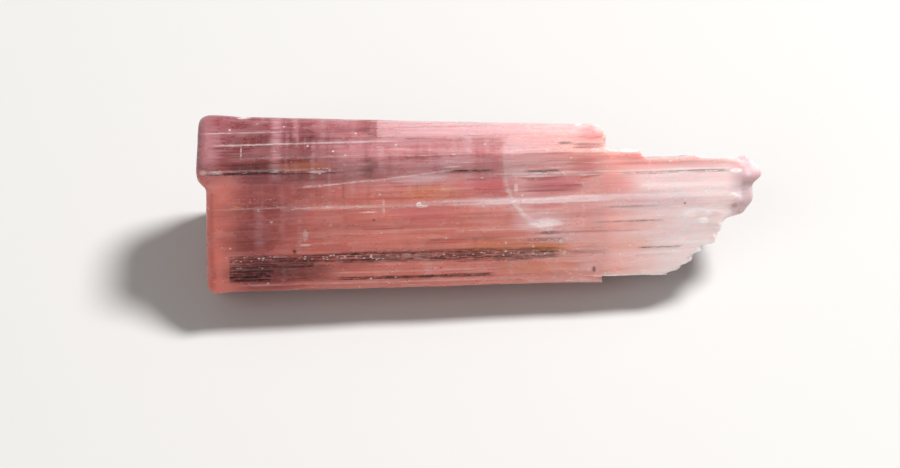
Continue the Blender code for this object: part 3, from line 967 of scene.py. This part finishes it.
class CrystalSettings(bpy.types.PropertyGroup):
    ledge_depth: FloatProperty(
        name="Ledge depth",
        description="Depth of the broad ledges, in millimetres",
        default=0.07,
        min=0.0,
    )
    line_depth: FloatProperty(
        name="Line depth",
        description="Depth of the growth lines, in millimetres",
        default=0.04,
        min=0.0,
    )
    wear_depth: FloatProperty(
        name="Wear",
        description="Depth of the soft unevenness, in millimetres",
        default=0.10,
        min=0.0,
    )
    chip_depth: FloatProperty(
        name="Chip depth",
        description="Depth of the splinters at the breaks, in millimetres",
        default=0.10,
        min=0.0,
    )
    dusky: FloatVectorProperty(
        name="Dusky rose",
        description="Body colour of the left end",
        subtype="COLOR",
        size=3,
        default=(0.18, 0.036, 0.037),
    )
    salmon: FloatVectorProperty(
        name="Salmon",
        description="Body colour of the middle",
        subtype="COLOR",
        size=3,
        default=(0.73, 0.25, 0.20),
    )
    mauve: FloatVectorProperty(
        name="Mauve",
        description="Body colour at the top left",
        subtype="COLOR",
        size=3,
        default=(0.27, 0.070, 0.082),
    )
    rose: FloatVectorProperty(
        name="Rose",
        description="Body colour at the top in the middle",
        subtype="COLOR",
        size=3,
        default=(0.52, 0.215, 0.225),
    )
    pale: FloatVectorProperty(
        name="Pale pink",
        description="Body colour of the right end",
        subtype="COLOR",
        size=3,
        default=(0.88, 0.745, 0.735),
    )
    # Also the colour that paints the shade of the dark band near the keel.
    dark: FloatVectorProperty(
        name="Dark lines",
        description="What the dark growth lines multiply the colour by",
        subtype="COLOR",
        size=3,
        default=(0.07, 0.042, 0.040),
    )
    deep_rose: FloatVectorProperty(
        name="Deep rose",
        description="Colour of the deepest pink patches",
        subtype="COLOR",
        size=3,
        default=(0.66, 0.165, 0.185),
    )
    # Also colours the painted sheen on the top face.
    lilac: FloatVectorProperty(
        name="Lilac",
        description="Colour of what is misty or healed",
        subtype="COLOR",
        size=3,
        default=(0.74, 0.545, 0.565),
    )
    russet: FloatVectorProperty(
        name="Russet",
        description="Body colour low at the left",
        subtype="COLOR",
        size=3,
        default=(0.44, 0.100, 0.088),
    )
    blush: FloatVectorProperty(
        name="Blush",
        description="Body colour right of the middle",
        subtype="COLOR",
        size=3,
        default=(0.88, 0.45, 0.40),
    )
    shadow: FloatVectorProperty(
        name="Shadow",
        description="What shady lines multiply by",
        subtype="COLOR",
        size=3,
        default=(0.45, 0.34, 0.36),
    )
    # Also colours the left part of the painted sheen on the top face.
    mallow: FloatVectorProperty(
        name="Mallow",
        description="Colour of the mist at the left",
        subtype="COLOR",
        size=3,
        default=(0.62, 0.36, 0.375),
    )
    frost: FloatVectorProperty(
        name="Frost",
        description="Colour of the worn tip",
        subtype="COLOR",
        size=3,
        default=(0.54, 0.385, 0.41),
    )
    amber: FloatVectorProperty(
        name="Amber",
        description="Colour of the warmest patches",
        subtype="COLOR",
        size=3,
        default=(0.74, 0.27, 0.10),
    )
    # The colour of the painted glints, and of the white flecks, the veil and the crack.
    white: FloatVectorProperty(
        name="White",
        description="Colour of glints and of the veil",
        subtype="COLOR",
        size=3,
        default=(0.95, 0.88, 0.87),
    )
    depth_tint: FloatVectorProperty(
        name="Depth tint",
        description="Colour that light takes on inside",
        subtype="COLOR",
        size=3,
        default=(0.93, 0.45, 0.43),
    )
    depth_strength: FloatProperty(
        name="Depth strength",
        description="How fast light takes on the depth tint, per metre",
        default=180.0,
        min=0.0,
    )


class StageSettings(bpy.types.PropertyGroup):
    floor_size: FloatProperty(
        name="Floor radius",
        description="Radius of the floor",
        default=1.2,
        unit="LENGTH",
    )
    floor_colour: FloatVectorProperty(
        name="Floor",
        description="Colour of the floor",
        subtype="COLOR",
        size=3,
        default=(0.50, 0.49, 0.48),
    )
    room_colour: FloatVectorProperty(
        name="Room",
        description="Colour of the light from all round",
        subtype="COLOR",
        size=3,
        default=(0.84, 0.83, 0.82),
    )
    room_light: FloatProperty(
        name="Room light",
        description="Strength of the light from all round",
        default=0.38,
    )
    key_power: FloatProperty(name="Key", description="Power of the key light", default=3.4, unit="POWER")
    fill_power: FloatProperty(name="Fill", description="Power of the fill light", default=1.0, unit="POWER")


class TOURMALINE_OT_crystal(bpy.types.Operator):
    """Grows the crystal round its plain solid"""

    bl_idname = "tourmaline.crystal"
    bl_label = "Crystal"

    def execute(self, context):
        settings = context.scene.tourmaline_crystal
        piece = build_crystal(settings)
        piece.data.materials.append(crystal_finish(settings))
        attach(piece, "root")
        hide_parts(NODE)
        return {"FINISHED"}


class TOURMALINE_OT_stage(bpy.types.Operator):
    """Sets the floor, the lights and the camera"""

    bl_idname = "tourmaline.stage"
    bl_label = "Stage"

    def execute(self, context):
        build_stage(context.scene.tourmaline_stage)
        return {"FINISHED"}


class TOURMALINE_PT_panel(bpy.types.Panel):
    """Lists the crystal and its stage"""

    bl_label = "Tourmaline Crystal"
    bl_idname = "TOURMALINE_PT_panel"
    bl_space_type = "VIEW_3D"
    bl_region_type = "UI"
    bl_category = "Tourmaline"

    def draw(self, context):
        for settings, operator in (
            (context.scene.tourmaline_crystal, TOURMALINE_OT_crystal),
            (context.scene.tourmaline_stage, TOURMALINE_OT_stage),
        ):
            box = self.layout.box()
            for name in settings.__annotations__:
                box.prop(settings, name)
            box.operator(operator.bl_idname)


CLASSES = (
    CrystalSettings,
    StageSettings,
    TOURMALINE_OT_crystal,
    TOURMALINE_OT_stage,
    TOURMALINE_PT_panel,
)


def register():
    for cls in CLASSES:
        bpy.utils.register_class(cls)
    bpy.types.Scene.tourmaline_crystal = PointerProperty(type=CrystalSettings)
    bpy.types.Scene.tourmaline_stage = PointerProperty(type=StageSettings)


def unregister():
    del bpy.types.Scene.tourmaline_stage
    del bpy.types.Scene.tourmaline_crystal
    for cls in reversed(CLASSES):
        bpy.utils.unregister_class(cls)


def main():
    register()
    bpy.ops.tourmaline.crystal()
    bpy.ops.tourmaline.stage()


if __name__ == "__main__":
    main()
